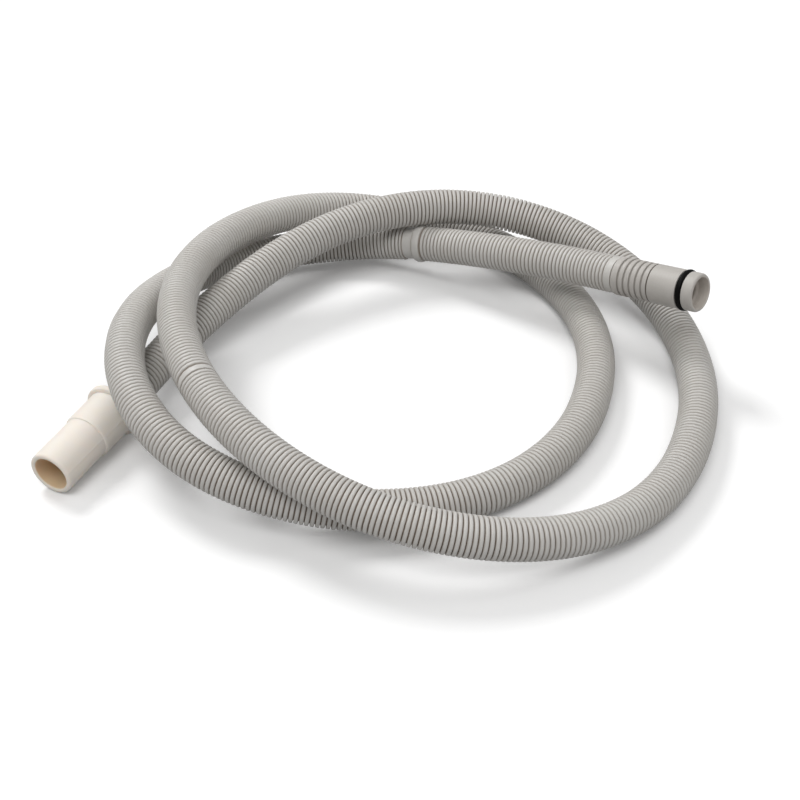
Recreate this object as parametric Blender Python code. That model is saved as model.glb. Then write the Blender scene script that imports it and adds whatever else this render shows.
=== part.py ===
# Dishwasher drain hose: a corrugated hose lying in two loose loops, a grey pump spigot with an
# O-ring on its upper end and a cream drain coupling on its lower end.
# Metres, +Z up, origin on the floor under the middle of the whole part.

import math

import bmesh
import bpy
import numpy as np
from mathutils import Vector

# Hose
HOSE_DIAMETER = 0.022
HOSE_POINTS = 80
HOSE_SIDES_RESOLUTION = 4

# Gap between two pieces that meet face to face or seat in each other
JOIN_GAP = 0.0003

# Pump spigot, sizes along its axis from the mouth back to the hose
SPIGOT_NOSE_LENGTH = 0.0067
SPIGOT_GROOVE_WIDTH = 0.0040
SPIGOT_CUFF_LENGTH = 0.0180
SPIGOT_LINE_WIDTH = 0.0008
SPIGOT_FIRST_RING = 0.0027
SPIGOT_RING_COUNT = 5
SPIGOT_RING_PITCH = 0.00395
SPIGOT_RING_GROOVE = 0.0012
SPIGOT_BAND_LENGTH = 0.0041

# Pump spigot, sizes across
SPIGOT_NOSE_DIAMETER = 0.0224
SPIGOT_CUFF_DIAMETER = 0.0228
SPIGOT_RING_DEPTH = 0.0010
SPIGOT_LINE_DEPTH = 0.0005
SPIGOT_MOUTH_BORE = 0.0182
SPIGOT_MOUTH_DEPTH = 0.0065
SPIGOT_BORE = 0.0144
SPIGOT_EDGE = 0.0006

# O-ring, an oval section seated in the spigot's groove
RING_SECTION_HEIGHT = 0.0030
RING_STANDS_PROUD = 0.0008

# Drain coupling, sizes along its axis from the mouth back to the lip
COUPLING_FRONT_LENGTH = 0.0316
COUPLING_SHOULDER_LENGTH = 0.0014
COUPLING_REAR_LENGTH = 0.0215
COUPLING_LIP_LENGTH = 0.0038
COUPLING_SEAT_DEPTH = 0.0243

# Drain coupling, sizes across
COUPLING_FRONT_DIAMETER = 0.0256
COUPLING_FRONT_WALL = 0.0030
COUPLING_REAR_WALL = 0.00215
COUPLING_LIP_HEIGHT = 0.0024
COUPLING_EDGE = 0.0006
SOCKET_CLEARANCE = 0.0006

# Shares that shape a profile: how far the middle point of a broken edge lies from its corner, how
# far a ring groove's sides lean in, and where the coupling's shoulder bends along and outward
EDGE_MIDDLE_SHARE = 0.3
GROOVE_LEAN_SHARE = 0.15
SHOULDER_ALONG_SHARE = 0.2
SHOULDER_OUT_SHARE = 0.6

# Facets round each turned piece and round the O-ring's section
TURN_STEPS = 40
SECTION_STEPS = 14

# The hose's route in millimetres, from the spigot to the coupling. It runs left behind the loops,
# round the inner loop, over itself to the outer loop, and back over the first run to the coupling.
ROUTE = (
    (136, 40.3, 47.8), (113, 59.5, 42), (91, 74, 38), (45.5, 103, 28),
    (-5, 125.5, 18), (-56.5, 123.5, 14.5), (-102.5, 95.5, 20.5), (-132.5, 49.5, 32),
    (-145, -4.5, 41), (-136.5, -59, 41), (-105, -102.5, 33), (-55, -123.5, 21),
    (-0.5, -124, 12.5), (52.5, -109, 11), (93.5, -73.5, 11), (116.5, -22.5, 11),
    (121, 32.5, 11), (105.5, 85.5, 11), (70.5, 130.5, 11.5), (22.5, 156.5, 15.5),
    (-28.5, 153, 26), (-72.5, 122.5, 38.5), (-103.5, 77.5, 47), (-117.5, 25, 52.5),
    (-113, -30, 54.5), (-92, -81, 52.5), (-56.5, -123, 46.5), (-10, -150.5, 37.5),
    (43.5, -159, 27), (96.5, -146.5, 17.5), (139.5, -113.5, 12), (166, -65.5, 11),
    (176.6, -10.5, 12), (169, 43, 16), (141.5, 90, 25), (96, 121, 35),
    (42.5, 129, 42), (-10.5, 115, 43.5), (-57, 85.5, 38.5), (-95, 46, 30),
    (-125.5, 0.5, 22.3), (-145.4, -36.5, 17), (-153.3, -51.5, 16), (-160.8, -66.5, 15),
)

# Materials as colour and roughness
HOSE_GREY = ((0.51, 0.49, 0.46), 0.5)
SPIGOT_GREY = ((0.57, 0.54, 0.51), 0.42)
SEAL_BLACK = ((0.015, 0.015, 0.015), 0.35)
COUPLING_CREAM = ((0.85, 0.78, 0.70), 0.45)

# Edges that meet at more than this many degrees stay sharp
SHARP_ANGLE = 35


def plain_material(name, colour, roughness):
    material = bpy.data.materials.new(name)
    material.use_nodes = True
    shader = material.node_tree.nodes["Principled BSDF"]
    shader.inputs["Base Color"].default_value = (*colour, 1.0)
    shader.inputs["Roughness"].default_value = roughness
    shader.inputs["Metallic"].default_value = 0.0
    return material


# A natural cubic curve through the route, read at even steps of its chord length.
def smooth_line(route, count):
    points = np.array(route, dtype=float)
    knots = np.concatenate([[0.0], np.cumsum(np.linalg.norm(np.diff(points, axis=0), axis=1))])
    span = np.diff(knots)[:, None]
    slope = np.diff(points, axis=0) / span
    last = len(points) - 1
    matrix = np.eye(last + 1)
    right = np.zeros_like(points)
    for i in range(1, last):
        matrix[i, i - 1:i + 2] = span[i - 1, 0], 2 * (span[i - 1, 0] + span[i, 0]), span[i, 0]
        right[i] = 6 * (slope[i] - slope[i - 1])
    bend = np.linalg.solve(matrix, right)
    at = np.linspace(0.0, knots[-1], count)
    k = np.clip(np.searchsorted(knots, at, side="right") - 1, 0, last - 1)
    a = ((knots[k + 1] - at) / span[k, 0])[:, None]
    b = 1.0 - a
    bent = ((a ** 3 - a) * bend[k] + (b ** 3 - b) * bend[k + 1]) * span[k] ** 2 / 6
    return a * points[k] + b * points[k + 1] + bent


# A plain round tube along the hose's route, with both ends capped.
def make_hose(name, line, material):
    curve = bpy.data.curves.new(name, "CURVE")
    curve.dimensions = "3D"
    curve.bevel_mode = "ROUND"
    curve.bevel_depth = HOSE_DIAMETER / 2
    curve.bevel_resolution = HOSE_SIDES_RESOLUTION
    curve.use_fill_caps = True
    spline = curve.splines.new("POLY")
    spline.points.add(len(line) - 1)
    for point, place in zip(spline.points, line):
        point.co = (*place, 1.0)
    curve.materials.append(material)
    hose = bpy.data.objects.new(name, curve)
    bpy.context.collection.objects.link(hose)
    return hose


# A closed outline of (distance along the axis, radius) pairs, turned about local +Z.
def make_turned(name, outline, material):
    shape = bmesh.new()
    rings = []
    for step in range(TURN_STEPS):
        turn = 2 * math.pi * step / TURN_STEPS
        ring = [shape.verts.new((r * math.cos(turn), r * math.sin(turn), z)) for z, r in outline]
        rings.append(ring)
    for step in range(TURN_STEPS):
        here = rings[step]
        following = rings[(step + 1) % TURN_STEPS]
        for i in range(len(outline)):
            j = (i + 1) % len(outline)
            shape.faces.new((here[i], here[j], following[j], following[i]))
    bmesh.ops.recalc_face_normals(shape, faces=shape.faces)
    mesh = bpy.data.meshes.new(name)
    shape.to_mesh(mesh)
    shape.free()
    mesh.shade_smooth()
    mesh.set_sharp_from_angle(angle=math.radians(SHARP_ANGLE))
    mesh.materials.append(material)
    turned = bpy.data.objects.new(name, mesh)
    bpy.context.collection.objects.link(turned)
    return turned


# Local +Z points out of the mouth, and local z = 0 is the mouth's face.
def place_at_mouth(turned, mouth, outward):
    turned.location = mouth
    turned.rotation_mode = "QUATERNION"
    turned.rotation_quaternion = outward.to_track_quat("Z", "Y")


def spigot_length():
    rings = SPIGOT_FIRST_RING + (SPIGOT_RING_COUNT - 1) * SPIGOT_RING_PITCH + SPIGOT_RING_GROOVE
    ahead = SPIGOT_NOSE_LENGTH + SPIGOT_GROOVE_WIDTH + SPIGOT_CUFF_LENGTH + SPIGOT_LINE_WIDTH
    return ahead + rings + SPIGOT_BAND_LENGTH


# The floor of the groove lies one gap under the O-ring's inner side.
def groove_floor_radius():
    return SPIGOT_NOSE_DIAMETER / 2 + RING_STANDS_PROUD - RING_SECTION_HEIGHT - JOIN_GAP


def spigot_outline():
    nose = SPIGOT_NOSE_DIAMETER / 2
    cuff = SPIGOT_CUFF_DIAMETER / 2
    floor = groove_floor_radius()
    outline = [(0.0, SPIGOT_MOUTH_BORE / 2), (0.0, nose - SPIGOT_EDGE)]
    middle = EDGE_MIDDLE_SHARE * SPIGOT_EDGE
    outline += [(-middle, nose - middle), (-SPIGOT_EDGE, nose)]
    z = -SPIGOT_NOSE_LENGTH
    outline += [(z, nose), (z, floor)]
    z -= SPIGOT_GROOVE_WIDTH
    outline += [(z, floor), (z, cuff)]
    z -= SPIGOT_CUFF_LENGTH
    outline += [(z, cuff), (z, cuff - SPIGOT_LINE_DEPTH)]
    z -= SPIGOT_LINE_WIDTH
    outline += [(z, cuff - SPIGOT_LINE_DEPTH), (z, cuff)]
    lean = GROOVE_LEAN_SHARE * SPIGOT_RING_GROOVE
    for ring in range(SPIGOT_RING_COUNT):
        z -= SPIGOT_FIRST_RING if ring == 0 else SPIGOT_RING_PITCH - SPIGOT_RING_GROOVE
        outline += [(z, cuff), (z - lean, cuff - SPIGOT_RING_DEPTH)]
        z -= SPIGOT_RING_GROOVE
        outline += [(z + lean, cuff - SPIGOT_RING_DEPTH), (z, cuff)]
    z -= SPIGOT_BAND_LENGTH
    outline += [(z, cuff), (z, SPIGOT_BORE / 2)]
    outline += [(-SPIGOT_MOUTH_DEPTH, SPIGOT_BORE / 2), (-SPIGOT_MOUTH_DEPTH, SPIGOT_MOUTH_BORE / 2)]
    return outline


def ring_outline():
    centre = -SPIGOT_NOSE_LENGTH - SPIGOT_GROOVE_WIDTH / 2
    half_width = SPIGOT_GROOVE_WIDTH / 2 - JOIN_GAP
    half_height = RING_SECTION_HEIGHT / 2
    middle = groove_floor_radius() + JOIN_GAP + half_height
    turns = [2 * math.pi * i / SECTION_STEPS for i in range(SECTION_STEPS)]
    return [(centre + half_width * math.cos(t), middle + half_height * math.sin(t)) for t in turns]


def coupling_length():
    ahead = COUPLING_FRONT_LENGTH + COUPLING_SHOULDER_LENGTH
    return ahead + COUPLING_REAR_LENGTH + COUPLING_LIP_LENGTH


def coupling_outline():
    front = COUPLING_FRONT_DIAMETER / 2
    bore = front - COUPLING_FRONT_WALL
    socket = HOSE_DIAMETER / 2 + SOCKET_CLEARANCE
    rear = socket + COUPLING_REAR_WALL
    lip = rear + COUPLING_LIP_HEIGHT
    edge = COUPLING_EDGE
    middle = EDGE_MIDDLE_SHARE * edge
    length = coupling_length()
    outline = [(0.0, bore), (0.0, front - edge), (-middle, front - middle), (-edge, front)]
    z = -COUPLING_FRONT_LENGTH
    shoulder = z - SHOULDER_ALONG_SHARE * COUPLING_SHOULDER_LENGTH
    outline += [(z, front), (shoulder, front + SHOULDER_OUT_SHARE * (rear - front))]
    z -= COUPLING_SHOULDER_LENGTH
    outline += [(z, rear)]
    z -= COUPLING_REAR_LENGTH
    outline += [(z, rear), (z - middle, lip - edge), (z - edge, lip)]
    outline += [(-length + edge, lip), (-length + middle, lip - middle), (-length, lip - edge)]
    outline += [(-length, socket)]
    seat = -length + COUPLING_SEAT_DEPTH
    outline += [(seat, socket), (seat, bore)]
    return outline


def main():
    for item in list(bpy.data.objects):
        bpy.data.objects.remove(item, do_unlink=True)

    route = np.array(ROUTE) / 1000
    line = smooth_line(route, HOSE_POINTS)
    make_hose("corrugated_hose", line, plain_material("hose_grey_plastic", *HOSE_GREY))

    # The spigot carries on straight from the hose's first stretch, one gap away from its end.
    outward = Vector(line[0] - line[1]).normalized()
    mouth = Vector(route[0]) + outward * (JOIN_GAP + spigot_length())
    grey = plain_material("spigot_grey_plastic", *SPIGOT_GREY)
    place_at_mouth(make_turned("pump_spigot", spigot_outline(), grey), mouth, outward)
    black = plain_material("seal_black_rubber", *SEAL_BLACK)
    place_at_mouth(make_turned("o_ring_seal", ring_outline(), black), mouth, outward)

    # The hose's last stretch lies in the coupling's socket and ends one gap short of its seat.
    outward = Vector(line[-1] - line[-2]).normalized()
    seat_to_mouth = coupling_length() - COUPLING_SEAT_DEPTH
    mouth = Vector(route[-1]) + outward * (JOIN_GAP + seat_to_mouth)
    cream = plain_material("coupling_cream_plastic", *COUPLING_CREAM)
    place_at_mouth(make_turned("drain_coupling", coupling_outline(), cream), mouth, outward)


main()
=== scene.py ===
import math

import bmesh
import bpy
import numpy as np
from mathutils import Matrix, Vector


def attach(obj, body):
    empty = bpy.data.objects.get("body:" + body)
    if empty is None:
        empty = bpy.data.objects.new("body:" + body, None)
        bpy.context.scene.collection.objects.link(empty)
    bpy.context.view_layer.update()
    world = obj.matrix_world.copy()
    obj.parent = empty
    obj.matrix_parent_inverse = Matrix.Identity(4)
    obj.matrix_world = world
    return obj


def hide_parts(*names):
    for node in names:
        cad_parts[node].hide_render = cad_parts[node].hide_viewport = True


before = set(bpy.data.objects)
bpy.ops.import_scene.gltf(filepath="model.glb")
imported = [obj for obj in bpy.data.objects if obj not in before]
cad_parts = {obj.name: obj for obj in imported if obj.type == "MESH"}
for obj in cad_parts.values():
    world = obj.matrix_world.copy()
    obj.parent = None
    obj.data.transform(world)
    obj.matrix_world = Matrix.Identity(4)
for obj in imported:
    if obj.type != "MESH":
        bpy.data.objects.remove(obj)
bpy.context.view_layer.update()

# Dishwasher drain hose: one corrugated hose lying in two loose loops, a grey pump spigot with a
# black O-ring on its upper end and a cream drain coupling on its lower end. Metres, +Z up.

plainWhite = (1.0, 1.0, 1.0, 1.0)


# sRGB hex to a linear RGBA colour
def linearColour(hexText):
    channels = [int(hexText[i:i + 2], 16) / 255 for i in (0, 2, 4)]
    linear = [c / 12.92 if c <= 0.04045 else ((c + 0.055) / 1.055) ** 2.4 for c in channels]
    return (*linear, 1.0)


def addNode(tree, kind, settings=(), inputs=()):
    node = tree.nodes.new(kind)
    for name, value in dict(settings).items():
        setattr(node, name, value)
    for socket, value in dict(inputs).items():
        if isinstance(value, bpy.types.NodeSocket):
            tree.links.new(value, node.inputs[socket])
        else:
            node.inputs[socket].default_value = value
    return node


def newMaterial(name):
    material = bpy.data.materials.new(name)
    material.use_nodes = True
    material.node_tree.nodes.clear()
    return material


# A natural cubic curve through the route, read at even steps of its chord length.
def smoothLine(route, count):
    points = np.array(route, dtype=float)
    knots = np.concatenate([[0.0], np.cumsum(np.linalg.norm(np.diff(points, axis=0), axis=1))])
    span = np.diff(knots)[:, None]
    slope = np.diff(points, axis=0) / span
    last = len(points) - 1
    matrix = np.eye(last + 1)
    right = np.zeros_like(points)
    for i in range(1, last):
        matrix[i, i - 1:i + 2] = span[i - 1, 0], 2 * (span[i - 1, 0] + span[i, 0]), span[i, 0]
        right[i] = 6 * (slope[i] - slope[i - 1])
    bend = np.linalg.solve(matrix, right)
    at = np.linspace(0.0, knots[-1], count)
    k = np.clip(np.searchsorted(knots, at, side="right") - 1, 0, last - 1)
    a = ((knots[k + 1] - at) / span[k, 0])[:, None]
    b = 1.0 - a
    bent = ((a ** 3 - a) * bend[k] + (b ** 3 - b) * bend[k + 1]) * span[k] ** 2 / 6
    return a * points[k] + b * points[k + 1] + bent


# Camera, fitted to the photograph: 38 degrees above the floor. The tilt is from straight down.
camera = {
    "place": (0.0072, -0.66338, 0.50594),
    "tilt": 51.957,
    "lens": 64.33,
    "sensor": 36,
    "nearest": 0.01,
    "farthest": 50,
}


def makeCamera(c):
    data = bpy.data.cameras.new("photoCamera")
    data.lens = c["lens"]
    data.sensor_width = c["sensor"]
    data.clip_start, data.clip_end = c["nearest"], c["farthest"]
    item = bpy.data.objects.new("photoCamera", data)
    item.location = c["place"]
    item.rotation_euler = (math.radians(c["tilt"]), 0, 0)
    bpy.context.collection.objects.link(item)
    bpy.context.scene.camera = item


makeCamera(camera)
print("camera placed")


# Corrugated hose
hose = {
    "diameter": 0.022,          # over the ribs
    "ribPitch": 0.00263,
    "grooveDepth": 0.00165,
    "sides": 18,
    "sharpAngle": 62,
    "lineSteps": 1400,          # points along the fine line that the ribs follow
    "frameSteps": 80,           # points along the frame's plain tube
    "pathEvery": 4,             # every fourth point of the fine line
    "bore": 0.0162,             # seen only at the two open ends
    "hollow": 0.030,            # how deep the open ends go
    # One rib as six rings of points: how far each lies below the crest, as a share of the groove,
    # and how far it is pushed along from even spacing, as a share of the pitch.
    "ribDrop": (1.0, 1.0, 0.13, 0.0, 0.0, 0.13),
    "ribShift": (0.028, -0.028, -0.098, -0.085, 0.085, 0.098),
    # Plain places in the run: distance of their middle from the spigot, length, radius and how
    # much of the groove's painted shade they take.
    "plainPlaces": (
        ("Collar", 0.0020, 0.0040, 0.01065, 0.0),
        ("Ring", 0.1404, 0.0052, 0.01135, 0.0),
        ("Ring End", 0.1375, 0.0006, 0.00980, 0.8),
        ("Ring Crown", 0.1406, 0.0034, 0.01180, 0.0),
        ("Barrel", 0.1471, 0.0066, 0.01000, 0.0),
        ("Cuff Line", 0.1434, 0.0008, 0.00950, 1.0),
        ("Cuff End", 0.1507, 0.0006, 0.00960, 0.8),
        ("Band Groove", 1.3157, 0.0010, 0.01040, 0.45),
        ("Band", 1.3180, 0.0032, 0.01100, 0.0),
    ),
    # The hose's route, as in the part's source. Its points come from a fit to the photograph and
    # are rounded, and nine of them, six at the ends, were then changed.
    "routeMillimetres": (
        (136, 40.3, 47.8), (113, 59.5, 42), (91, 74, 38), (45.5, 103, 28),
        (-5, 125.5, 18), (-56.5, 123.5, 14.5), (-102.5, 95.5, 20.5), (-132.5, 49.5, 32),
        (-145, -4.5, 41), (-136.5, -59, 41), (-105, -102.5, 33), (-55, -123.5, 21),
        (-0.5, -124, 12.5), (52.5, -109, 11), (93.5, -73.5, 11), (116.5, -22.5, 11),
        (121, 32.5, 11), (105.5, 85.5, 11), (70.5, 130.5, 11.5), (22.5, 156.5, 15.5),
        (-28.5, 153, 26), (-72.5, 122.5, 38.5), (-103.5, 77.5, 47), (-117.5, 25, 52.5),
        (-113, -30, 54.5), (-92, -81, 52.5), (-56.5, -123, 46.5), (-10, -150.5, 37.5),
        (43.5, -159, 27), (96.5, -146.5, 17.5), (139.5, -113.5, 12), (166, -65.5, 11),
        (176.6, -10.5, 12), (169, 43, 16), (141.5, 90, 25), (96, 121, 35),
        (42.5, 129, 42), (-10.5, 115, 43.5), (-57, 85.5, 38.5), (-95, 46, 30),
        (-125.5, 0.5, 22.3), (-145.4, -36.5, 17), (-153.3, -51.5, 16), (-160.8, -66.5, 15),
    ),
}
routeMetres = np.array(hose["routeMillimetres"]) / 1000

hoseFinish = {
    "crest": "CAC8C4",
    # groove: painted shade, mixed into the rib grooves and the dark plain lines
    "groove": "897868",
    "mottle": "C4C1BC",
    "mottleSize": 0.035,        # metres between the paler and darker stretches
    "mottleDetail": 3.0,
    "mottleFrom": 0.35,         # the noise levels where the mottle starts and is full
    "mottleTo": 0.7,
    "grainSize": 0.0007,
    "grainDetail": 2.0,
    "bumpStrength": 0.12,
    "bumpDepth": 0.0001,
    "roughness": 0.48,
    "refraction": 1.49,
}


# Blow-moulded polypropylene: an even light grey with a soft sheen; the grooves carry painted shade, a
# brown-grey tinge.
def hosePlastic(f):
    material = newMaterial("blowMouldedPolypropylene")
    tree = material.node_tree
    place = addNode(tree, "ShaderNodeTexCoord").outputs["Object"]
    cloud = addNode(tree, "ShaderNodeTexNoise", {}, {
        "Vector": place, "Scale": 1 / f["mottleSize"], "Detail": f["mottleDetail"]})
    cloudShare = addNode(tree, "ShaderNodeMapRange", {}, {
        "Value": cloud.outputs["Fac"], "From Min": f["mottleFrom"], "From Max": f["mottleTo"]})
    tone = addNode(tree, "ShaderNodeMix", {"data_type": "RGBA"}, {
        0: cloudShare.outputs["Result"], 6: linearColour(f["crest"]), 7: linearColour(f["mottle"])})
    # Painted shade: the rib grooves and the dark plain lines are mixed towards the groove colour.
    depth = addNode(tree, "ShaderNodeAttribute", {"attribute_name": "paintedGrooveShade"})
    colour = addNode(tree, "ShaderNodeMix", {"data_type": "RGBA"}, {
        0: depth.outputs["Fac"], 6: tone.outputs[2], 7: linearColour(f["groove"])})
    grain = addNode(tree, "ShaderNodeTexNoise", {}, {
        "Vector": place, "Scale": 1 / f["grainSize"], "Detail": f["grainDetail"]})
    bump = addNode(tree, "ShaderNodeBump", {}, {
        "Strength": f["bumpStrength"], "Distance": f["bumpDepth"], "Height": grain.outputs["Fac"]})
    shader = addNode(tree, "ShaderNodeBsdfPrincipled", {}, {
        "Base Color": colour.outputs[2], "Roughness": f["roughness"], "IOR": f["refraction"],
        "Normal": bump.outputs["Normal"]})
    addNode(tree, "ShaderNodeOutputMaterial", {}, {"Surface": shader.outputs["BSDF"]})
    return material


# A node group that turns a line into a tube with moulded ribs and a few plain places.
def ribbedTubeNodes(h, material):
    tree = bpy.data.node_groups.new("ribbedTube", "GeometryNodeTree")
    values = {
        "Rib Pitch": h["ribPitch"],
        "Crest Radius": h["diameter"] / 2,
        "Groove Depth": h["grooveDepth"],
        "Sides": h["sides"],
    }
    for name, at, length, radius, paintedShadeShare in h["plainPlaces"]:
        values[f"{name} Place"] = at
        values[f"{name} Length"] = length
        values[f"{name} Radius"] = radius
        values[f"{name} Tone"] = paintedShadeShare
    tree.interface.new_socket(name="Geometry", in_out="INPUT", socket_type="NodeSocketGeometry")
    sockets = {}
    for name, value in values.items():
        kind = "NodeSocketInt" if name == "Sides" else "NodeSocketFloat"
        socket = tree.interface.new_socket(name=name, in_out="INPUT", socket_type=kind)
        sockets[name] = socket.identifier
    tree.interface.new_socket(name="Geometry", in_out="OUTPUT", socket_type="NodeSocketGeometry")
    given = addNode(tree, "NodeGroupInput").outputs
    ringsPerRib = float(len(h["ribDrop"]))

    line = addNode(tree, "GeometryNodeMeshToCurve", {}, {"Mesh": given["Geometry"]}).outputs["Curve"]
    length = addNode(tree, "GeometryNodeCurveLength", {}, {"Curve": line}).outputs["Length"]
    ribs = addNode(tree, "ShaderNodeMath", {"operation": "DIVIDE"}, {
        0: length, 1: given["Rib Pitch"]}).outputs[0]
    wholeRibs = addNode(tree, "ShaderNodeMath", {"operation": "ROUND"}, {0: ribs}).outputs[0]
    count = addNode(tree, "ShaderNodeMath", {"operation": "MULTIPLY_ADD"}, {
        0: wholeRibs, 1: ringsPerRib, 2: 1.0}).outputs[0]
    stepped = addNode(tree, "GeometryNodeResampleCurve", {}, {
        "Curve": line, "Count": count}).outputs["Curve"]

    # Which of the rib's rings a point is, and what that ring's radius and place are.
    index = addNode(tree, "GeometryNodeInputIndex").outputs[0]
    part = addNode(tree, "ShaderNodeMath", {"operation": "FLOORED_MODULO"}, {
        0: index, 1: ringsPerRib}).outputs[0]
    looked = []
    for shares in (h["ribDrop"], h["ribShift"]):
        table = tree.nodes.new("GeometryNodeIndexSwitch")
        table.data_type = "FLOAT"
        for _ in range(len(shares) - 2):
            table.index_switch_items.new()
        tree.links.new(part, table.inputs["Index"])
        for i, share in enumerate(shares):
            table.inputs[i + 1].default_value = share
        looked.append(table.outputs[0])
    dropShare, shiftShare = looked
    drop = addNode(tree, "ShaderNodeMath", {"operation": "MULTIPLY"}, {
        0: dropShare, 1: given["Groove Depth"]}).outputs[0]
    radius = addNode(tree, "ShaderNodeMath", {"operation": "SUBTRACT"}, {
        0: given["Crest Radius"], 1: drop}).outputs[0]

    # Within each plain place its own radius and share of painted groove shade stand in for the rib's.
    along = addNode(tree, "GeometryNodeSplineParameter").outputs["Length"]
    for name, *_ in h["plainPlaces"]:
        away = addNode(tree, "ShaderNodeMath", {"operation": "SUBTRACT"}, {
            0: along, 1: given[f"{name} Place"]}).outputs[0]
        distance = addNode(tree, "ShaderNodeMath", {"operation": "ABSOLUTE"}, {0: away}).outputs[0]
        half = addNode(tree, "ShaderNodeMath", {"operation": "MULTIPLY"}, {
            0: given[f"{name} Length"], 1: 0.5}).outputs[0]
        within = addNode(tree, "ShaderNodeMath", {"operation": "LESS_THAN"}, {
            0: distance, 1: half}).outputs[0]
        radius = addNode(tree, "GeometryNodeSwitch", {"input_type": "FLOAT"}, {
            "Switch": within, "False": radius, "True": given[f"{name} Radius"]}).outputs[0]
        shiftShare = addNode(tree, "GeometryNodeSwitch", {"input_type": "FLOAT"}, {
            "Switch": within, "False": shiftShare, "True": 0.0}).outputs[0]
        dropShare = addNode(tree, "GeometryNodeSwitch", {"input_type": "FLOAT"}, {
            "Switch": within, "False": dropShare, "True": given[f"{name} Tone"]}).outputs[0]
    noted = stepped
    # The drop share is kept as the mask of painted shade in the grooves.
    for name, value in (("tubeRadius", radius), ("paintedGrooveShade", dropShare)):
        noted = addNode(tree, "GeometryNodeStoreNamedAttribute", {"data_type": "FLOAT"}, {
            "Geometry": noted, "Name": name, "Value": value}).outputs[0]
    shift = addNode(tree, "ShaderNodeMath", {"operation": "MULTIPLY"}, {
        0: shiftShare, 1: given["Rib Pitch"]}).outputs[0]
    tangent = addNode(tree, "GeometryNodeInputTangent").outputs[0]
    push = addNode(tree, "ShaderNodeVectorMath", {"operation": "SCALE"}, {
        "Vector": tangent, "Scale": shift}).outputs[0]
    pushed = addNode(tree, "GeometryNodeSetPosition", {}, {"Geometry": noted, "Offset": push}).outputs[0]

    circle = addNode(tree, "GeometryNodeCurvePrimitiveCircle", {}, {
        "Resolution": given["Sides"], "Radius": 1.0}).outputs["Curve"]
    ringSize = addNode(tree, "GeometryNodeInputNamedAttribute", {"data_type": "FLOAT"}, {
        "Name": "tubeRadius"}).outputs[0]
    tube = addNode(tree, "GeometryNodeCurveToMesh", {}, {
        "Curve": pushed, "Profile Curve": circle, "Scale": ringSize}).outputs["Mesh"]
    smooth = addNode(tree, "GeometryNodeSetShadeSmooth", {}, {"Geometry": tube}).outputs[0]
    real = addNode(tree, "GeometryNodeRealizeInstances", {}, {"Geometry": smooth}).outputs[0]
    finished = addNode(tree, "GeometryNodeSetMaterial", {}, {
        "Geometry": real, "Material": material}).outputs[0]
    addNode(tree, "NodeGroupOutput", {}, {"Geometry": finished})
    return tree, {sockets[name]: value for name, value in values.items()}


# The open ends go on inward as a plain bore, so that a look into a fitting finds a hollow hose.
def openEnds(mesh, h, line):
    shape = bmesh.new()
    shape.from_mesh(mesh)
    share = shape.verts.layers.float.get("paintedGrooveShade")
    for end, inner in ((line[0], line[1]), (line[-1], line[-2])):
        end = Vector(end)
        inward = (Vector(inner) - end).normalized()
        openEdges = [e for e in shape.edges if e.is_boundary]
        rim = [e for e in openEdges if (e.verts[0].co - end).length < h["diameter"]]
        centre = sum((v.co for e in rim for v in e.verts), Vector()) / (2 * len(rim))
        for radius, depth in ((h["bore"] / 2, 0.0), (h["bore"] / 2, h["hollow"])):
            made = bmesh.ops.extrude_edge_only(shape, edges=rim)["geom"]
            rim = [g for g in made if isinstance(g, bmesh.types.BMEdge) and g.is_boundary]
            for vertex in {v for e in rim for v in e.verts}:
                out = vertex.co - centre
                out -= inward * out.dot(inward)
                vertex.co = centre + out.normalized() * radius + inward * depth
                vertex[share] = 0.0
        bmesh.ops.holes_fill(shape, edges=rim)
    bmesh.ops.recalc_face_normals(shape, faces=shape.faces)
    shape.to_mesh(mesh)
    shape.free()


def makeHose(h, f):
    line = smoothLine(routeMetres, h["lineSteps"])
    guide = bpy.data.meshes.new("hoseLine")
    guide.from_pydata([tuple(p) for p in line], [(i, i + 1) for i in range(len(line) - 1)], [])
    item = bpy.data.objects.new("corrugatedHose", guide)
    bpy.context.collection.objects.link(item)
    tree, values = ribbedTubeNodes(h, hosePlastic(f))
    modifier = item.modifiers.new("ribs", "NODES")
    modifier.node_group = tree
    for identifier, value in values.items():
        modifier[identifier] = value
    graph = bpy.context.evaluated_depsgraph_get()
    evaluated = item.evaluated_get(graph)
    mesh = bpy.data.meshes.new_from_object(evaluated, preserve_all_data_layers=True, depsgraph=graph)
    item.modifiers.remove(modifier)
    item.data = mesh
    mesh.name = "corrugatedHose"
    openEnds(mesh, h, line)
    mesh.set_sharp_from_angle(angle=math.radians(h["sharpAngle"]))
    length = float(np.linalg.norm(np.diff(line, axis=0), axis=1).sum())
    return item, line, length


hosePiece, hoseLine, hoseLength = makeHose(hose, hoseFinish)
print("hose made:", len(hosePiece.data.polygons), "faces,", round(hoseLength, 3), "m")


# Turned fittings: roundings that both share, how much of a side a rounding may take, facets round,
# and the angle past which an edge stays sharp
turning = {
    "fine": 0.0002, "crisp": 0.0003, "soft": 0.0005, "end": 0.0006,
    "roundingShare": 0.48, "roundingSteps": 5, "sides": 96, "sharpAngle": 38,
    "seamRoom": 2.2,            # a seam clears away the facets within this many half widths
}


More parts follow.
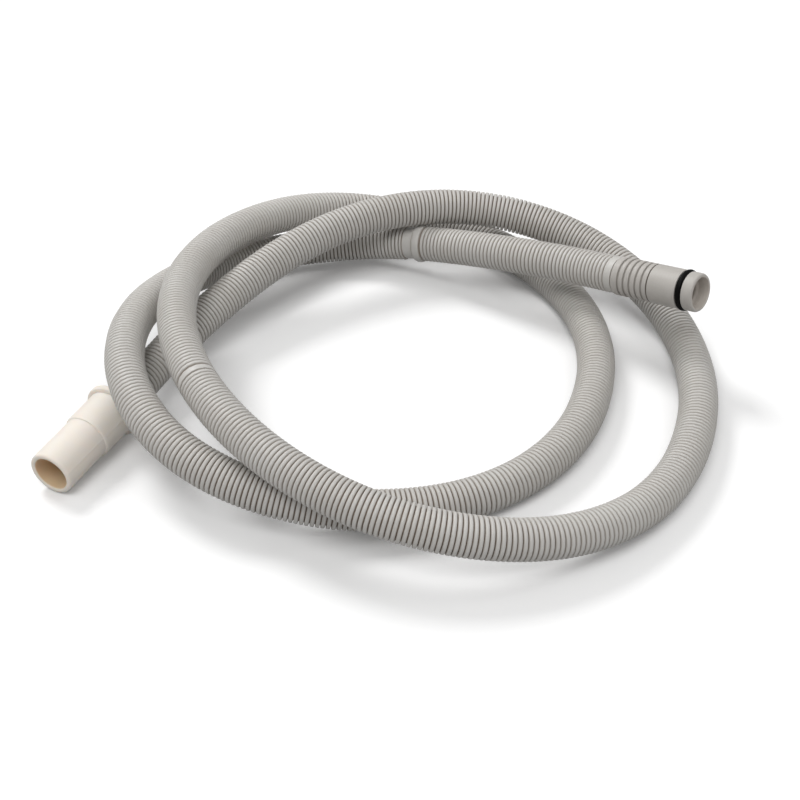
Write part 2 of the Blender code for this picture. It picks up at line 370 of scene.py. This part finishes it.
# An outline is a list of (distance from the mouth, radius, rounding) corners that runs from the
# mouth's inner edge over the outside to the back, and home through the bore.
def roundedOutline(corners):
    points = []
    for i, (z, r, rounding) in enumerate(corners):
        here = np.array((z, r))
        if rounding <= 0:
            points.append(here)
            continue
        before = np.array(corners[i - 1][:2]) - here
        after = np.array(corners[(i + 1) % len(corners)][:2]) - here
        ends = []
        for side in (before, after):
            reach = np.linalg.norm(side)
            ends.append(here + side / reach * min(rounding, turning["roundingShare"] * reach))
        for t in np.linspace(0, 1, turning["roundingSteps"]):
            points.append((1 - t) ** 2 * ends[0] + 2 * t * (1 - t) * here + t ** 2 * ends[1])
    return points


# The radius that parts a fitting's outside from its bore, near the mouth and further back.
def splitRadius(sizes):
    def limit(depth):
        return sizes["splitNear"] if depth < sizes["splitDepth"] else sizes["splitFar"]
    return limit


def degreesApart(a, b):
    return abs((a - b + 180) % 360 - 180)


# Turns the outline about local +Z, which points out of the mouth, and puts it at the mouth. A seam
# is (angle in degrees, height, half width): a fine moulded line along the outside. Points further
# out than outside(depth) are the outer skin, the others the bore; recess(depth, radius) says how
# much of the recess tone a point of the skin takes.
def turnedPiece(name, outline, mouth, outward, material, seams=(), outside=None, recess=None):
    angles = list(np.linspace(0, 360, turning["sides"], endpoint=False))
    for middle, height, half in seams:
        angles = [a for a in angles if degreesApart(a, middle) > turning["seamRoom"] * half]
        angles += [(middle + k * half) % 360 for k in (-2, -1, 0, 1, 2)]
    angles = sorted(angles)
    turn = Matrix.Translation(mouth) @ Vector(outward).to_track_quat("Z", "Y").to_matrix().to_4x4()
    shape = bmesh.new()
    along = shape.verts.layers.float.new("fromMouth")
    inside = shape.verts.layers.float.new("boreShare")
    sunken = shape.verts.layers.float.new("recessShare")
    rings = []
    for angle in angles:
        lift = sum(height * max(0.0, 1 - degreesApart(angle, middle) / half)
                   for middle, height, half in seams)
        a = math.radians(angle)
        ring = []
        for z, r in outline:
            isOuter = outside is not None and r > outside(-z)
            reach = r + (lift if isOuter else 0.0)
            vertex = shape.verts.new(turn @ Vector((reach * math.cos(a), reach * math.sin(a), z)))
            vertex[along] = -z
            vertex[inside] = 0.0 if isOuter or outside is None else 1.0
            vertex[sunken] = recess(-z, r) if recess is not None and isOuter else 0.0
            ring.append(vertex)
        rings.append(ring)
    for a, b in zip(rings, rings[1:] + rings[:1]):
        for i in range(len(outline)):
            j = (i + 1) % len(outline)
            shape.faces.new((a[i], a[j], b[j], b[i]))
    bmesh.ops.recalc_face_normals(shape, faces=shape.faces)
    mesh = bpy.data.meshes.new(name)
    shape.to_mesh(mesh)
    shape.free()
    mesh.shade_smooth()
    mesh.set_sharp_from_angle(angle=math.radians(turning["sharpAngle"]))
    mesh.materials.append(material)
    item = bpy.data.objects.new(name, mesh)
    bpy.context.collection.objects.link(item)
    return item


# Where each fitting's mouth is, and which way it looks. Both carry on straight from the hose, whose
# ends follow the frame's own steps.
joinGap = 0.0003
frameLine = [Vector(p) for p in smoothLine(routeMetres, hose["frameSteps"])]
spigotAxis = (frameLine[0] - frameLine[1]).normalized()
couplingAxis = (frameLine[-1] - frameLine[-2]).normalized()

# Pump spigot, sizes along its axis from the mouth, then across
spigot = {
    "nose": 0.0067, "grooveWidth": 0.0040, "cuff": 0.0180, "line": 0.0008, "firstRing": 0.0027,
    "ringCount": 5, "ringPitch": 0.00395, "ringGroove": 0.0012, "band": 0.0041,
    "noseDiameter": 0.0224, "cuffDiameter": 0.0228, "ringDepth": 0.0010, "lineDepth": 0.0005,
    "mouthBore": 0.0182, "mouthDepth": 0.0065, "bore": 0.0144,
    "taperLength": 0.0011, "taperDepth": 0.0007,   # the nose narrows by this at its mouth
    "grooveLean": 0.2,                             # share of a ring groove that each side leans in
    "boreStep": 0.0006,                            # length of the slope where the bore narrows
    "sealHeight": 0.0030, "sealProud": 0.0008, "sealSteps": 24,
    "splitDepth": 0.0075, "splitNear": 0.0097, "splitFar": 0.0076,
    # The recess tone: behind recessFrom and under recessUnder, the line first and then the rings
    "recessFrom": 0.012, "recessUnder": 0.0112, "ringsFrom": 0.0300, "lineShade": 1.0, "ringShade": 0.4,
}
spigotFinish = {
    "colour": "BDB9B4",
    "shade": "B3AFA9",
    # the bore's own warm tone is painted light, standing in for light that reaches inside
    "paintedBoreTone": "C0B9B1",
    "recessTone": "6B645B",
    "mottleSize": 0.012,
    "turnLine": 0.0019,         # metres between the faint lines round the cuff
    "grainSize": 0.0008,
    "grainShare": 0.6,          # the grain's height beside that of the lines
    "detail": 2.0,
    "bumpStrength": 0.6,
    "bumpDepth": 0.00006,
    "roughness": 0.48,
    "refraction": 1.49,
}
sealFinish = {
    "colour": "050505",
    "grainSize": 0.0004,
    "detail": 2.0,
    "bumpStrength": 0.15,
    "bumpDepth": 0.00005,
    "roughness": 0.42,
    "roughnessSpread": 0.12,
    "refraction": 1.52,
    "specular": 0.1,
}


def spigotLength(s):
    rings = s["firstRing"] + (s["ringCount"] - 1) * s["ringPitch"] + s["ringGroove"]
    return s["nose"] + s["grooveWidth"] + s["cuff"] + s["line"] + rings + s["band"]


def sealFloor(s):
    return s["noseDiameter"] / 2 + s["sealProud"] - s["sealHeight"] - joinGap


def spigotCorners(s):
    fine, crisp, soft = turning["fine"], turning["crisp"], turning["soft"]
    nose, cuff, floor = s["noseDiameter"] / 2, s["cuffDiameter"] / 2, sealFloor(s)
    corners = [(0, s["mouthBore"] / 2, crisp), (0, nose - s["taperDepth"], crisp)]
    corners += [(-s["taperLength"], nose, soft)]
    z = -s["nose"]
    corners += [(z, nose, crisp), (z, floor, 0)]
    z -= s["grooveWidth"]
    corners += [(z, floor, 0), (z, cuff, crisp)]
    z -= s["cuff"]
    corners += [(z, cuff, fine), (z, cuff - s["lineDepth"], 0)]
    z -= s["line"]
    corners += [(z, cuff - s["lineDepth"], 0), (z, cuff, crisp)]
    lean = s["grooveLean"] * s["ringGroove"]
    for ring in range(s["ringCount"]):
        z -= s["firstRing"] if ring == 0 else s["ringPitch"] - s["ringGroove"]
        corners += [(z, cuff, soft), (z - lean, cuff - s["ringDepth"], fine)]
        z -= s["ringGroove"]
        corners += [(z + lean, cuff - s["ringDepth"], fine), (z, cuff, soft)]
    z -= s["band"]
    corners += [(z, cuff, turning["end"]), (z, s["bore"] / 2, 0)]
    corners += [(-s["mouthDepth"] - s["boreStep"], s["bore"] / 2, crisp)]
    corners += [(-s["mouthDepth"], s["mouthBore"] / 2, fine)]
    return corners


def recessShare(s):
    def share(depth, radius):
        if depth < s["recessFrom"] or radius > s["recessUnder"]:
            return 0.0
        return s["lineShade"] if depth < s["ringsFrom"] else s["ringShade"]
    return share


def sealOutline(s):
    centre = -s["nose"] - s["grooveWidth"] / 2
    halfWidth, halfHeight = s["grooveWidth"] / 2 - joinGap, s["sealHeight"] / 2
    middle = sealFloor(s) + joinGap + halfHeight
    turns = np.linspace(0, 2 * math.pi, s["sealSteps"], endpoint=False)
    return [(centre + halfWidth * math.cos(t), middle + halfHeight * math.sin(t)) for t in turns]


# Injection-moulded polypropylene: a little darker than the hose, with faint lines left by the mould
# round the cuff, painted shade in its line and ring grooves, and painted light in its bore.
def spigotPlastic(f):
    material = newMaterial("injectionMouldedPolypropylene")
    tree = material.node_tree
    place = addNode(tree, "ShaderNodeTexCoord").outputs["Object"]
    cloud = addNode(tree, "ShaderNodeTexNoise", {}, {
        "Vector": place, "Scale": 1 / f["mottleSize"], "Detail": f["detail"]})
    tone = addNode(tree, "ShaderNodeMix", {"data_type": "RGBA"}, {
        0: cloud.outputs["Fac"], 6: linearColour(f["colour"]), 7: linearColour(f["shade"])})
    # Painted light: the bore is mixed towards a warmer tone of its own.
    bore = addNode(tree, "ShaderNodeAttribute", {"attribute_name": "boreShare"})
    outerTone = addNode(tree, "ShaderNodeMix", {"data_type": "RGBA"}, {
        0: bore.outputs["Fac"], 6: tone.outputs[2], 7: linearColour(f["paintedBoreTone"])})
    sunken = addNode(tree, "ShaderNodeAttribute", {"attribute_name": "recessShare"})
    colour = addNode(tree, "ShaderNodeMix", {"data_type": "RGBA"}, {
        0: sunken.outputs["Fac"], 6: outerTone.outputs[2], 7: linearColour(f["recessTone"])})
    along = addNode(tree, "ShaderNodeAttribute", {"attribute_name": "fromMouth"}).outputs["Fac"]
    turns = addNode(tree, "ShaderNodeMath", {"operation": "MULTIPLY"}, {
        0: along, 1: 2 * math.pi / f["turnLine"]}).outputs[0]
    wave = addNode(tree, "ShaderNodeMath", {"operation": "SINE"}, {0: turns}).outputs[0]
    grain = addNode(tree, "ShaderNodeTexNoise", {}, {
        "Vector": place, "Scale": 1 / f["grainSize"], "Detail": f["detail"]})
    height = addNode(tree, "ShaderNodeMath", {"operation": "MULTIPLY_ADD"}, {
        0: grain.outputs["Fac"], 1: f["grainShare"], 2: wave}).outputs[0]
    bump = addNode(tree, "ShaderNodeBump", {}, {
        "Strength": f["bumpStrength"], "Distance": f["bumpDepth"], "Height": height})
    shader = addNode(tree, "ShaderNodeBsdfPrincipled", {}, {
        "Base Color": colour.outputs[2], "Roughness": f["roughness"], "IOR": f["refraction"],
        "Normal": bump.outputs["Normal"]})
    addNode(tree, "ShaderNodeOutputMaterial", {}, {"Surface": shader.outputs["BSDF"]})
    return material


# Nitrile rubber: near black, with a soft and slightly uneven highlight.
def sealRubber(f):
    material = newMaterial("nitrileRubber")
    tree = material.node_tree
    place = addNode(tree, "ShaderNodeTexCoord").outputs["Object"]
    grain = addNode(tree, "ShaderNodeTexNoise", {}, {
        "Vector": place, "Scale": 1 / f["grainSize"], "Detail": f["detail"]})
    bump = addNode(tree, "ShaderNodeBump", {}, {
        "Strength": f["bumpStrength"], "Distance": f["bumpDepth"], "Height": grain.outputs["Fac"]})
    sheen = addNode(tree, "ShaderNodeMapRange", {}, {
        "Value": grain.outputs["Fac"], "To Min": f["roughness"],
        "To Max": f["roughness"] + f["roughnessSpread"]})
    shader = addNode(tree, "ShaderNodeBsdfPrincipled", {}, {
        "Base Color": linearColour(f["colour"]), "Roughness": sheen.outputs["Result"],
        "IOR": f["refraction"], "Specular IOR Level": f["specular"], "Normal": bump.outputs["Normal"]})
    addNode(tree, "ShaderNodeOutputMaterial", {}, {"Surface": shader.outputs["BSDF"]})
    return material


spigotMouth = Vector(hoseLine[0]) + spigotAxis * (joinGap + spigotLength(spigot))
spigotPiece = turnedPiece("pumpSpigot", roundedOutline(spigotCorners(spigot)), spigotMouth, spigotAxis,
                          spigotPlastic(spigotFinish), outside=splitRadius(spigot),
                          recess=recessShare(spigot))
sealPiece = turnedPiece("sealRing", sealOutline(spigot), spigotMouth, spigotAxis, sealRubber(sealFinish))
print("spigot and O-ring made")

# Drain coupling, sizes along its axis from the mouth, then across
coupling = {
    "front": 0.0316, "shoulder": 0.0014, "rear": 0.0215, "lip": 0.0038, "seat": 0.0243,
    "frontDiameter": 0.0256, "frontWall": 0.0030, "rearWall": 0.00215, "lipHeight": 0.0024,
    "clearance": 0.0006,
    "shoulderAlong": 0.2, "shoulderOut": 0.7,      # where the shoulder bends, as shares of it
    "lipLean": 0.0001,
    "mouthInner": 0.0016, "mouthOuter": 0.0018, "lipRound": 0.0012, "socketRound": 0.0004,
    "splitDepth": 0.033, "splitNear": 0.0100, "splitFar": 0.0121,
    # Moulded lines along the outside: degrees round, height, half width in degrees
    "seams": ((20.0, 0.00022, 1.0), (200.0, 0.00022, 1.0)),
}
couplingFinish = {
    "colour": "EFE8DF",
    "shade": "E9E1D7",
    # the bore's amber is painted shade and warm bounced light
    "paintedBoreTone": "E0C8A6",
    "mottleSize": 0.018,
    "grainSize": 0.0009,
    "detail": 2.0,
    "bumpStrength": 0.15,
    "bumpDepth": 0.0001,
    "roughness": 0.58,
    "refraction": 1.53,
    "glow": 0.6,                # share of the light that goes under the surface
    "glowColour": (1.0, 0.8, 0.6),
    "glowDepth": 0.003,
}


def couplingLength(c):
    return c["front"] + c["shoulder"] + c["rear"] + c["lip"]


def couplingCorners(c):
    fine, crisp = turning["fine"], turning["crisp"]
    front = c["frontDiameter"] / 2
    bore = front - c["frontWall"]
    socket = hose["diameter"] / 2 + c["clearance"]
    rear = socket + c["rearWall"]
    lip = rear + c["lipHeight"]
    corners = [(0, bore, c["mouthInner"]), (0, front, c["mouthOuter"])]
    z = -c["front"]
    bend = z - c["shoulderAlong"] * c["shoulder"]
    corners += [(z, front, crisp), (bend, front + c["shoulderOut"] * (rear - front), fine)]
    z -= c["shoulder"]
    corners += [(z, rear, turning["soft"])]
    z -= c["rear"]
    corners += [(z, rear, crisp), (z - c["lipLean"], lip, c["lipRound"])]
    length = couplingLength(c)
    corners += [(-length, lip, c["lipRound"]), (-length, socket, c["socketRound"])]
    seat = -length + c["seat"]
    corners += [(seat, socket, 0), (seat, bore, crisp)]
    return corners


# Soft moulded vinyl: warm cream, slightly translucent, so its edges glow; its bore is painted amber, painted
# shade and warm bounced light.
def couplingVinyl(f):
    material = newMaterial("softMouldedVinyl")
    tree = material.node_tree
    place = addNode(tree, "ShaderNodeTexCoord").outputs["Object"]
    cloud = addNode(tree, "ShaderNodeTexNoise", {}, {
        "Vector": place, "Scale": 1 / f["mottleSize"], "Detail": f["detail"]})
    tone = addNode(tree, "ShaderNodeMix", {"data_type": "RGBA"}, {
        0: cloud.outputs["Fac"], 6: linearColour(f["colour"]), 7: linearColour(f["shade"])})
    # Painted shade and bounced light: the bore is mixed towards a deeper amber.
    bore = addNode(tree, "ShaderNodeAttribute", {"attribute_name": "boreShare"})
    colour = addNode(tree, "ShaderNodeMix", {"data_type": "RGBA"}, {
        0: bore.outputs["Fac"], 6: tone.outputs[2], 7: linearColour(f["paintedBoreTone"])})
    grain = addNode(tree, "ShaderNodeTexNoise", {}, {
        "Vector": place, "Scale": 1 / f["grainSize"], "Detail": f["detail"]})
    bump = addNode(tree, "ShaderNodeBump", {}, {
        "Strength": f["bumpStrength"], "Distance": f["bumpDepth"], "Height": grain.outputs["Fac"]})
    shader = addNode(tree, "ShaderNodeBsdfPrincipled", {}, {
        "Base Color": colour.outputs[2], "Roughness": f["roughness"], "IOR": f["refraction"],
        "Normal": bump.outputs["Normal"], "Subsurface Weight": f["glow"],
        "Subsurface Radius": f["glowColour"], "Subsurface Scale": f["glowDepth"]})
    addNode(tree, "ShaderNodeOutputMaterial", {}, {"Surface": shader.outputs["BSDF"]})
    return material


couplingReach = joinGap + couplingLength(coupling) - coupling["seat"]
couplingMouth = Vector(hoseLine[-1]) + couplingAxis * couplingReach
couplingPiece = turnedPiece("drainCoupling", roundedOutline(couplingCorners(coupling)), couplingMouth,
                            couplingAxis, couplingVinyl(couplingFinish), seams=coupling["seams"],
                            outside=splitRadius(coupling))
print("coupling made")

# What each piece stands for in the frame: each is tied to the root and its part is hidden
for piece, node, slot in ((hosePiece, "corrugated_hose", "hose"), (spigotPiece, "pump_spigot", "spigot"),
                          (sealPiece, "o_ring_seal", "seal"), (couplingPiece, "drain_coupling", "coupling")):
    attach(piece, "root")
    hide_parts(node)
print("pieces tied to the frame")

# Studio: a white sweep of floor, three soft lamps and a pale room. The lamps' and the room's levels
# were fitted to the photograph's tones. A lamp's level is the brightness that it alone gives a
# white floor under it.
studio = {
    "floorSize": 6.0,
    "floorTone": "BEBEBE",      # what the floor throws back on the hose; the camera sees it white
    "floorLift": 0.06,          # added for the camera alone, so that the lit floor reaches white
    "fadeStart": 0.35,          # the floor that the camera sees turns to plain white from here
    "fadeEnd": 0.90,            # to here, in metres from the middle
    "roomTone": "FFFFFF",
    "roomStrength": 0.41,
    "lampDistance": 4.0,
    # name, bearing from straight back towards the right, height above the floor in degrees, size, level
    "lamps": (
        ("backLamp", -42, 48, 1.4, 0.32),
        ("frontLamp", -160, 62, 2.2, 0.28),
        ("rightLamp", 90, 62, 2.6, 0.10),
    ),
}


def makeFloor(s):
    mesh = bpy.data.meshes.new("studioFloor")
    half = s["floorSize"] / 2
    corners = [(-half, -half, 0), (half, -half, 0), (half, half, 0), (-half, half, 0)]
    mesh.from_pydata(corners, [], [(0, 1, 2, 3)])
    floor = bpy.data.objects.new("studioFloor", mesh)
    bpy.context.collection.objects.link(floor)
    mesh.materials.append(floorPaint(s))


# White painted sweep: matt and shadowed near the object, plain white for the camera further off.
def floorPaint(s):
    material = newMaterial("whitePaintedSweep")
    tree = material.node_tree
    seen = addNode(tree, "ShaderNodeLightPath").outputs["Is Camera Ray"]
    tone = addNode(tree, "ShaderNodeMix", {"data_type": "RGBA"}, {
        0: seen, 6: linearColour(s["floorTone"]), 7: plainWhite})
    matt = addNode(tree, "ShaderNodeBsdfDiffuse", {}, {"Color": tone.outputs[2]})
    lift = addNode(tree, "ShaderNodeMath", {"operation": "MULTIPLY"}, {0: seen, 1: s["floorLift"]})
    glow = addNode(tree, "ShaderNodeEmission", {}, {"Color": plainWhite, "Strength": lift.outputs[0]})
    both = addNode(tree, "ShaderNodeAddShader", {}, {0: matt.outputs[0], 1: glow.outputs[0]})
    place = addNode(tree, "ShaderNodeTexCoord").outputs["Object"]
    away = addNode(tree, "ShaderNodeVectorMath", {"operation": "LENGTH"}, {0: place}).outputs["Value"]
    far = addNode(tree, "ShaderNodeMapRange", {}, {
        "Value": away, "From Min": s["fadeStart"], "From Max": s["fadeEnd"]})
    farSeen = addNode(tree, "ShaderNodeMath", {"operation": "MULTIPLY"}, {
        0: seen, 1: far.outputs["Result"]})
    white = addNode(tree, "ShaderNodeEmission", {}, {"Color": plainWhite, "Strength": 1.0})
    sweep = addNode(tree, "ShaderNodeMixShader", {}, {
        0: farSeen.outputs[0], 1: both.outputs[0], 2: white.outputs[0]})
    addNode(tree, "ShaderNodeOutputMaterial", {}, {"Surface": sweep.outputs[0]})
    return material


# A pale room that lights the object softly and that the camera sees as white.
def makeRoom(s):
    world = bpy.data.worlds.new("paleRoom")
    world.use_nodes = True
    bpy.context.scene.world = world
    tree = world.node_tree
    tree.nodes.clear()
    seen = addNode(tree, "ShaderNodeLightPath").outputs["Is Camera Ray"]
    strength = addNode(tree, "ShaderNodeMix", {"data_type": "FLOAT"}, {
        0: seen, 2: s["roomStrength"], 3: 1.0})
    room = addNode(tree, "ShaderNodeBackground", {}, {
        "Color": linearColour(s["roomTone"]), "Strength": strength.outputs[0]})
    addNode(tree, "ShaderNodeOutputWorld", {}, {"Surface": room.outputs[0]})


def makeLamps(s):
    for name, bearing, height, size, level in s["lamps"]:
        a, e = math.radians(bearing), math.radians(height)
        towards = Vector((math.cos(e) * math.sin(a), math.cos(e) * math.cos(a), math.sin(e)))
        data = bpy.data.lights.new(name, "AREA")
        data.shape = "DISK"
        data.size = size
        data.energy = level * (math.pi * s["lampDistance"]) ** 2 / math.sin(e)
        lamp = bpy.data.objects.new(name, data)
        lamp.location = towards * s["lampDistance"]
        lamp.rotation_mode = "QUATERNION"
        lamp.rotation_quaternion = (-towards).to_track_quat("-Z", "Y")
        bpy.context.collection.objects.link(lamp)


makeFloor(studio)
makeRoom(studio)
makeLamps(studio)
bpy.context.scene.view_settings.view_transform = "Standard"
print("studio made")
